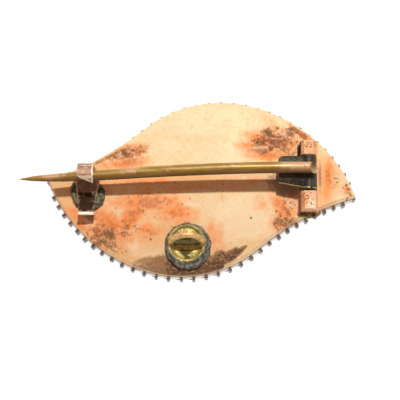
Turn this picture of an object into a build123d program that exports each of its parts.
import math
import os

from build123d import *

# An eye-shaped brooch lying on its front: +Z is its back, +X the hinge end, +Y the upper lid.
# Millimetres. The origin is on the surface it lies on, under the middle of its box.

# Outline of the back plate. The lower lid is the upper one turned half way round.
brooch_length = 32.0  # from corner to corner
lid_height = 9.17  # top of a lid over the line through the middle
corner_offset = 0.88  # the left corner is this far above that line, the right one below it

# Points of the upper lid where its arcs meet, as shares of half the length and of the lid's height
lid_points = {
    "rise": (-0.375, 0.678),
    "peak": (0.125, 1.0),
    "fall": (0.328, 0.955),
}

# Gold case
wall_height = 1.40
wall_thickness = 0.35
plate_thickness = 0.45
dome_rise = 0.80
fitting_sink = 0.15  # what is soldered on goes this deep into the plate

# Silver border with its claws, measured across from the plate's edge
border_height = 1.40
border_overhang = 0.10
border_inside = 1.22
claw_count = 64
claw_reach = 0.48
corner_claw_reach = 0.25
claw_start = 0.8  # steps from a corner to the first claw
claw_width = 0.34
claw_depth = 0.44
claw_setback = 0.06  # the claws' tips are this far short of the stones' tables
bead_width = 0.26
bead_depth = 0.30
bead_inside = 1.12
bead_start = 2.5  # steps from a corner to the first bead
pitch_swing = 0.10  # the pitch grows by this share at mid-lid and shrinks by it at the corners

# Cut stones
stone_share = 0.80  # of the pitch
stone_inside = 0.45
stone_crown = 0.20
stone_girdle = 0.05
stone_pavilion = 0.36
table_share = 0.58
culet_share = 0.12
seat_clearance = 0.03
stone_sides = 8

# Crystal and picture plaque
glass_thickness = 0.80
glass_dome = 0.55
lip_width = 0.28
lip_thickness = 0.25
plaque_thickness = 0.40
solder_gap = 0.03
glass_clearance = 0.05
plaque_clearance = 0.10

# Hinge, placed from the right corner
hinge_inset = 4.93
hinge_middle_y = 1.10
knuckle_width = 3.64
knuckle_diameter = 1.70
lug_diameter = 1.78
lug_flat = 0.16  # worn off the top of each lug
lug_neck_width = 1.42
upper_lug_length = 1.50
lower_lug_length = 1.95
lug_gap = 0.08
bearer_width = 2.10
bearer_height = 0.34
bearer_clearance = 0.08
rivet_diameter = 0.56
rivet_running_fit = 0.04
rivet_seat_fit = 0.01
leaf_length = 3.12
leaf_thickness = 0.42
leaf_arch = 0.50
leaf_corner_length = 0.45  # cut off the upper corner of its free end
leaf_corner_height = 0.42
leaf_inset_free = 0.73  # its lower edge from the knuckle's lower end, at its free end
leaf_inset_hinge = 0.20  # and at the hinge

# Pin stem
stem_diameter = 1.18
stem_heel = 0.88
stem_sink = 0.08
stem_aside = 0.31  # from the middle of the hinge, at the hinge
stem_bow = 0.43
stem_sway = 0.13
point_overhang = 2.69
heel_slant = 35.0

# Sections of the stem: place as a share of its length from the heel, bow and sway as shares of
# stem_bow and stem_sway, thickness as a share of stem_diameter
# along, bow, sway, thickness
catch_section = (0.780, 0.00, 0.00, 0.83)
stem_sections = [
    (0.000, 0.00, 0.00, 1.00),
    (0.127, 0.31, 0.90, 1.00),
    (0.227, 0.71, 1.10, 1.00),
    (0.395, 1.00, 1.00, 1.00),
    (0.562, 0.87, 0.60, 0.98),
    (0.697, 0.33, -0.10, 0.91),
    catch_section,
    (0.865, -0.20, -0.40, 0.73),
    (0.951, -0.30, -0.50, 0.47),
    (1.000, -0.33, -0.60, 0.09),
]

# Catch, placed from the left corner
catch_inset = 4.05
catch_middle_y = 0.72
catch_strip_width = 1.68
catch_strip_thickness = 0.35
catch_foot_width = 2.50
catch_foot_corner = 0.62
hook_inner_radius = 1.03
hook_clearance = 0.14
hook_end_angle = 118.0  # the hook's free end, from +Y
catch_floor_length = 2.87
lip_inner_radius = 0.72
lip_turn = 88.0
solder_height = 0.20
pad_length = 3.70
pad_width = 3.50
pad_aside = 0.20  # towards the hinge
pad_middle_y = -0.99

# Round boss with its chain loop, placed from the middle and from the lower lid's crown
boss_x = -1.53
boss_inset = 3.10
boss_diameter = 4.00
boss_height = 0.62
boss_wall = 0.35
boss_floor = 0.15
boss_solder_width = 0.36
loop_span = 3.30
loop_wire = 0.62
loop_lean = 22.0  # from upright, towards the upper lid
loop_sink = 0.20

# Levels over the surface that the brooch lies on
border_front = stone_crown
border_back = border_front + border_height
wall_front = border_back + solder_gap
plate_edge = wall_front + wall_height
glass_back = border_back - solder_gap
glass_front = glass_back - glass_thickness
lip_back = glass_front - solder_gap
lip_front = lip_back - lip_thickness

# Places along the brooch
half_length = brooch_length / 2
middle_x = (point_overhang - corner_claw_reach) / 2
middle = Plane((middle_x, 0, 0))
hinge_from_middle = half_length - hinge_inset
hinge_x = middle_x + hinge_from_middle
catch_from_middle = catch_inset - half_length
catch_x = middle_x + catch_from_middle
boss_y = boss_inset - lid_height


def dome_radii(rise):
    """Radii along and across of a dome that rises this much over the outline."""
    return half_length**2 / (2 * rise), lid_height**2 / (2 * rise)


def back_level(x, y):
    """Level of the back plate's outside, x from the middle of the eye."""
    radius_along, radius_across = dome_radii(dome_rise)
    top = plate_edge + dome_rise
    ridge_drop = radius_along - math.sqrt(radius_along**2 - x**2)
    radius_here = radius_across - ridge_drop
    return top - radius_across + math.sqrt(radius_here**2 - y**2)


def dome(edge_level, rise, side):
    """Barrel whose crown stands rise beyond edge_level, upwards for side 1, downwards for -1."""
    radius_along, radius_across = dome_radii(rise)
    crown_level = edge_level + side * rise
    axis_level = crown_level - side * radius_across
    reach = half_length + claw_reach
    end_level = crown_level - side * (radius_along - math.sqrt(radius_along**2 - reach**2))
    with BuildPart() as barrel:
        with BuildSketch(Plane((middle_x, 0, 0), x_dir=(1, 0, 0), z_dir=(0, -1, 0))):
            with BuildLine():
                ThreePointArc((-reach, end_level), (0, crown_level), (reach, end_level))
                Polyline((reach, end_level), (reach, axis_level), (-reach, axis_level), (-reach, end_level))
            make_face()
        revolve(axis=Axis((middle_x, 0, axis_level), (1, 0, 0)))
    return barrel.part


# Upper lid: the crown's arc, with the flank and the shoulder leaving it along its tangents
left_corner = (-half_length, corner_offset)
right_corner = (half_length, -corner_offset)
rise_point, peak_point, fall_point = [
    (along * half_length, up * lid_height) for along, up in lid_points.values()
]
with BuildLine() as lid:
    crown = ThreePointArc(rise_point, peak_point, fall_point)
    TangentArc(rise_point, left_corner, tangent=(crown % 0) * -1)
    TangentArc(fall_point, right_corner, tangent=crown % 1)

with BuildSketch() as plate_outline:
    with BuildLine():
        add(lid.line)
        add(lid.line, rotation=180)
    make_face()


def eye_face(level, outside):
    """Face in the shape of the eye, its edge this far outside that of the back plate."""
    with BuildSketch(middle.offset(level)) as face:
        add(plate_outline.sketch)
        if outside:
            offset(amount=outside, mode=Mode.REPLACE)
    return face.sketch


# Places round the border, at graded steps from corner to corner of each lid
lid_edge = lid.wires()[0]
lid_start, lid_end = sorted((0, 1), key=lambda share: (lid_edge @ share).X)
corner_angle = 180 - (lid_edge % lid_start).get_angle(lid_edge % lid_end)
steps_per_lid = claw_count // 2
corner_run = stone_inside / math.tan(math.radians(corner_angle / 2))
bead_count = int(steps_per_lid - 2 * bead_start + 1)
mean_pitch = (lid_edge.length - 2 * corner_run) / steps_per_lid


def local_pitch(step):
    """Distance from stone to stone near this step."""
    return mean_pitch * (1 - pitch_swing * math.cos(math.tau * step / steps_per_lid))


def rim_place(step, outside, turn):
    """Place at this step of a lid, outside the plate's edge and with +X facing outwards."""
    share = step / steps_per_lid
    graded = share - pitch_swing * math.sin(math.tau * share) / math.tau
    run = corner_run + graded * mean_pitch * steps_per_lid
    position = run / lid_edge.length
    if lid_start == 1:
        position = 1 - position
    foot = lid_edge @ position
    along = (lid_edge % position) * (1 if lid_start == 0 else -1)
    outwards = Vector(-along.Y, along.X)
    spot = (foot + outwards * outside).rotate(Axis.Z, turn)
    heading = math.degrees(math.atan2(outwards.Y, outwards.X)) + turn
    return Location((middle_x + spot.X, spot.Y, 0), (0, 0, heading))


def places(first_step, outside, count=steps_per_lid):
    """Places on both lids, one for each step, beginning at first_step."""
    return [
        rim_place(first_step + step, outside, turn)
        for turn in (0, 180)
        for step in range(count)
    ]


def facet_slope(diameter, end_share, depth):
    """Slope from the girdle to a face this share as wide, in degrees from upright."""
    girdle_apothem = diameter / 2 * math.cos(math.pi / stone_sides)
    return math.degrees(math.atan(girdle_apothem * (1 - end_share) / depth))


def cut_stone(diameter):
    """Stone with its table down on the surface: table, crown, girdle and pavilion in facets."""
    girdle_front = Plane.XY.offset(stone_crown)
    girdle_back = girdle_front.offset(stone_girdle)
    with BuildPart() as stone:
        with BuildSketch(girdle_front):
            RegularPolygon(diameter / 2, stone_sides)
        extrude(amount=stone_girdle)
        with BuildSketch(-girdle_front):
            RegularPolygon(diameter / 2, stone_sides)
        extrude(amount=stone_crown, taper=facet_slope(diameter, table_share, stone_crown))
        with BuildSketch(girdle_back):
            RegularPolygon(diameter / 2, stone_sides)
        extrude(amount=stone_pavilion, taper=facet_slope(diameter, culet_share, stone_pavilion))
    return stone.part


def stone_seat(diameter):
    """Bore that a stone sits in."""
    with BuildPart() as seat:
        with BuildSketch(Plane.XY.offset(border_front)):
            Circle(diameter / 2 + seat_clearance)
        extrude(amount=seat_depth)
    return seat.part


seat_depth = stone_girdle + stone_pavilion + seat_clearance
stone_steps = [step for _ in (0, 180) for step in range(steps_per_lid)]
stone_diameters = [stone_share * local_pitch(step) for step in stone_steps]
stone_places = places(0, -stone_inside)

with BuildPart() as border_stones:
    add([cut_stone(size).moved(spot) for size, spot in zip(stone_diameters, stone_places)])
border_stones.part.label = "border_stones"

# Silver border: ring, lip over the crystal, claws outside and beads inside, seats for the stones
claw_back = border_back + solder_gap
claw_length = claw_back - claw_setback

corner_places = [
    Location((middle_x + half_length + corner_claw_reach, -corner_offset, 0)),
    Location((middle_x - half_length - corner_claw_reach, corner_offset, 0), (0, 0, 180)),
]

with BuildPart() as claw_border:
    extrude(eye_face(border_front, border_overhang), amount=border_height)
    extrude(eye_face(lip_back, -border_inside), amount=border_back - lip_back, mode=Mode.SUBTRACT)
    extrude(
        eye_face(border_front, -border_inside - lip_width),
        amount=lip_back - border_front,
        mode=Mode.SUBTRACT,
    )
    extrude(
        eye_face(border_front, -border_inside),
        amount=lip_front - border_front,
        mode=Mode.SUBTRACT,
    )
    with Locations(*places(claw_start, claw_reach, steps_per_lid - 1), *corner_places):
        with Locations((0, 0, claw_setback)):
            Box(claw_depth, claw_width, claw_length, align=(Align.MAX, Align.CENTER, Align.MIN))
    with Locations(*places(bead_start, bead_depth - bead_inside, bead_count)):
        with Locations((0, 0, claw_setback)):
            Box(bead_depth, bead_width, border_front, align=(Align.MAX, Align.CENTER, Align.MIN))
    add(
        [stone_seat(size).moved(spot) for size, spot in zip(stone_diameters, stone_places)],
        mode=Mode.SUBTRACT,
    )
claw_border.part.label = "claw_border"

# Crystal: a flat back and edge under the lip, and a low dome through it
with BuildPart() as glass_dome_part:
    extrude(
        eye_face(glass_front, -border_inside - lip_width - glass_clearance),
        amount=-glass_dome,
    )
    add(dome(glass_front, glass_dome, -1), mode=Mode.INTERSECT)

with BuildPart() as glass_cover:
    extrude(eye_face(glass_front, -border_inside - glass_clearance), amount=glass_thickness)
    add(glass_dome_part.part)
glass_cover.part.label = "glass_cover"

# Painted plaque, lying on the border's back inside the wall
with BuildPart() as eye_miniature:
    extrude(eye_face(wall_front, -wall_thickness - plaque_clearance), amount=plaque_thickness)
eye_miniature.part.label = "eye_miniature"

# Hinge: two lugs on a bearer, with the knuckle between them
upper_lug_start = hinge_middle_y + knuckle_width / 2 + lug_gap
lower_lug_start = hinge_middle_y - knuckle_width / 2 - lug_gap
upper_lug_end = upper_lug_start + upper_lug_length
lower_lug_end = lower_lug_start - lower_lug_length
hinge_level = (
    back_level(hinge_from_middle, hinge_middle_y)
    + bearer_height
    + bearer_clearance
    + knuckle_diameter / 2
)
bearer_top = hinge_level - knuckle_diameter / 2 - bearer_clearance
bearer_bottom = back_level(hinge_from_middle + bearer_width / 2, upper_lug_end) - fitting_sink


def across_hinge(y):
    """Plane across the hinge's axis at this y, its +Z along -Y."""
    return Plane((hinge_x, y, hinge_level), x_dir=(1, 0, 0), z_dir=(0, -1, 0))


# Catch: levels and the line of its bent strip, across the brooch
catch_level = back_level(catch_from_middle, 0) + solder_height
strip_middle_radius = hook_inner_radius + catch_strip_thickness / 2
hook_middle_level = catch_level + catch_strip_thickness + hook_inner_radius
stem_radius_at_catch = catch_section[3] * stem_diameter / 2
stem_level_at_catch = hook_middle_level + hook_inner_radius - hook_clearance - stem_radius_at_catch
stem_level_at_hinge = hinge_level + knuckle_diameter / 2 + stem_diameter / 2 - stem_sink

# Boss
boss_level = back_level(boss_x, boss_y)
boss_bottom = back_level(boss_x, boss_y - boss_diameter / 2 - boss_solder_width) - fitting_sink
boss_top = boss_level + boss_height
boss_middle = Plane((middle_x + boss_x, boss_y, 0))
lean_direction = (0, math.sin(math.radians(loop_lean)), math.cos(math.radians(loop_lean)))
loop_normal = (0, -math.cos(math.radians(loop_lean)), math.sin(math.radians(loop_lean)))
loop_centre = (middle_x + boss_x, boss_y, boss_top - loop_sink)

with BuildPart() as tray_hollow:
    extrude(eye_face(wall_front, -wall_thickness), amount=wall_height + dome_rise)
    add(dome(plate_edge - plate_thickness, dome_rise, 1), mode=Mode.INTERSECT)

with BuildPart() as case:
    extrude(eye_face(wall_front, 0), amount=wall_height + dome_rise)
    add(dome(plate_edge, dome_rise, 1), mode=Mode.INTERSECT)
    add(tray_hollow.part, mode=Mode.SUBTRACT)

    # Hinge bearer and lugs
    bearer_y = (upper_lug_end + lower_lug_end) / 2
    with BuildSketch(Plane((hinge_x, bearer_y, bearer_bottom))):
        Rectangle(bearer_width, upper_lug_end - lower_lug_end)
    extrude(amount=bearer_top - bearer_bottom)
    for lug_start, lug_length in (
        (upper_lug_end, upper_lug_length),
        (lower_lug_start, lower_lug_length),
    ):
        with BuildSketch(across_hinge(lug_start)):
            Circle(lug_diameter / 2)
            with Locations((0, (bearer_top - hinge_level) / 2)):
                Rectangle(lug_neck_width, hinge_level - bearer_top)
            with Locations((0, lug_diameter / 2 - lug_flat)):
                Rectangle(lug_diameter, lug_flat, align=(Align.CENTER, Align.MIN), mode=Mode.SUBTRACT)
            Circle(rivet_diameter / 2 + rivet_seat_fit, mode=Mode.SUBTRACT)
        extrude(amount=lug_length)

    # Catch: solder pad, foot and the bent strip
    pad_corner = (catch_from_middle + pad_aside - pad_length / 2, pad_middle_y - pad_width / 2)
    pad_bottom = back_level(*pad_corner)
    with BuildSketch(Plane((catch_x + pad_aside, pad_middle_y, pad_bottom - fitting_sink))):
        Ellipse(pad_length / 2, pad_width / 2)
    extrude(amount=catch_level - pad_bottom + fitting_sink)
    floor_end_y = catch_middle_y - catch_floor_length
    with BuildSketch(Plane((catch_x, (catch_middle_y + floor_end_y) / 2, catch_level))):
        RectangleRounded(catch_foot_width, catch_floor_length, catch_foot_corner)
    extrude(amount=catch_strip_thickness)
    with BuildSketch(Plane((catch_x, catch_middle_y, hook_middle_level), (0, 1, 0), (1, 0, 0))):
        with BuildLine() as strip_line:
            CenterArc((0, 0), strip_middle_radius, -90, 90 + hook_end_angle)
            strip_floor = Line((0, -strip_middle_radius), (-catch_floor_length, -strip_middle_radius))
            lip_middle_radius = lip_inner_radius + catch_strip_thickness / 2
            CenterArc(strip_floor @ 1 + (0, lip_middle_radius), lip_middle_radius, -90, -lip_turn)
        trace(line_width=catch_strip_thickness)
    extrude(amount=catch_strip_width / 2, both=True)

    # Boss: solder ring, collar and its bore, and the loop for a safety chain
    with BuildSketch(boss_middle.offset(boss_bottom)):
        Circle(boss_diameter / 2 + boss_solder_width)
    with BuildSketch(boss_middle.offset(boss_top - boss_height / 2)):
        Circle(boss_diameter / 2)
    loft()
    with BuildSketch(boss_middle.offset(boss_bottom)):
        Circle(boss_diameter / 2)
    extrude(amount=boss_top - boss_bottom)
    with BuildSketch(boss_middle.offset(boss_level + boss_floor)):
        Circle(boss_diameter / 2 - boss_wall)
    extrude(amount=boss_height, mode=Mode.SUBTRACT)
    with BuildSketch(Plane(Vector(loop_centre) + (loop_span / 2, 0, 0), (1, 0, 0), lean_direction)):
        Circle(loop_wire / 2)
    revolve(axis=Axis(loop_centre, loop_normal), revolution_arc=180)
case.part.label = "case"

# Pin stem: knuckle, arched leaf and the stem that lies on them
heel_x = hinge_x + stem_heel
point_x = middle_x - half_length - point_overhang
stem_length = heel_x - point_x
hinge_to_catch = hinge_x - catch_x


def stem_section(along, bow, sway, thickness):
    """Plane across the stem and the stem's radius there."""
    x = heel_x - along * stem_length
    to_catch = (hinge_x - x) / hinge_to_catch
    chord_level = stem_level_at_hinge + (stem_level_at_catch - stem_level_at_hinge) * to_catch
    chord_y = hinge_middle_y + stem_aside
    chord_y += (catch_middle_y - chord_y) * to_catch
    spot = (x, chord_y + sway * stem_sway, chord_level + bow * stem_bow)
    return Plane(spot, x_dir=(0, 1, 0), z_dir=(-1, 0, 0)), thickness * stem_diameter / 2


with BuildPart() as stem:
    for row in stem_sections:
        section_plane, section_radius = stem_section(*row)
        with BuildSketch(section_plane):
            Circle(section_radius)
    loft()
    heel_middle = stem_section(*stem_sections[0])[0].origin
    slant = math.radians(heel_slant)
    heel_cut = Plane(
        heel_middle - (stem_diameter * math.tan(slant) / 2, 0, 0),
        z_dir=(math.cos(slant), 0, math.sin(slant)),
    )
    split(bisect_by=heel_cut, keep=Keep.BOTTOM)

leaf_end_x = hinge_x - leaf_length
leaf_top = hinge_level + knuckle_diameter / 2 - leaf_thickness / 2

with BuildPart() as leaf:
    with BuildSketch(Plane((leaf_end_x, hinge_middle_y, leaf_top), (0, 1, 0), (1, 0, 0))):
        with BuildLine():
            half_leaf = knuckle_width / 2
            ThreePointArc((-half_leaf, -leaf_arch), (0, 0), (half_leaf, -leaf_arch))
        trace(line_width=leaf_thickness)
    extrude(amount=leaf_length)
    with BuildSketch(Plane((leaf_end_x, hinge_middle_y, hinge_level - knuckle_diameter))):
        Polygon(
            (0, leaf_inset_free - half_leaf),
            (leaf_length, leaf_inset_hinge - half_leaf),
            (leaf_length, half_leaf),
            (leaf_corner_length, half_leaf),
            (0, half_leaf - leaf_corner_height),
            align=None,
        )
    extrude(amount=2 * knuckle_diameter, mode=Mode.INTERSECT)

with BuildPart() as pin_stem:
    with BuildSketch(across_hinge(hinge_middle_y + knuckle_width / 2)):
        Circle(knuckle_diameter / 2)
    extrude(amount=knuckle_width)
    add(leaf.part)
    add(stem.part)
    with BuildSketch(across_hinge(hinge_middle_y + knuckle_width)):
        Circle(rivet_diameter / 2 + rivet_running_fit)
    extrude(amount=2 * knuckle_width, mode=Mode.SUBTRACT)
pin_stem.part.label = "pin_stem"

# Rivet through the lugs and the knuckle
with BuildPart() as hinge_rivet:
    with BuildSketch(across_hinge(upper_lug_end)):
        Circle(rivet_diameter / 2)
    extrude(amount=upper_lug_end - lower_lug_end)
hinge_rivet.part.label = "hinge_rivet"

os.makedirs("parts", exist_ok=True)
export_step(case.part, "parts/case.step")
export_step(claw_border.part, "parts/claw_border.step")
export_step(border_stones.part, "parts/border_stones.step")
export_step(glass_cover.part, "parts/glass_cover.step")
export_step(eye_miniature.part, "parts/eye_miniature.step")
export_step(pin_stem.part, "parts/pin_stem.step")
export_step(hinge_rivet.part, "parts/hinge_rivet.step")
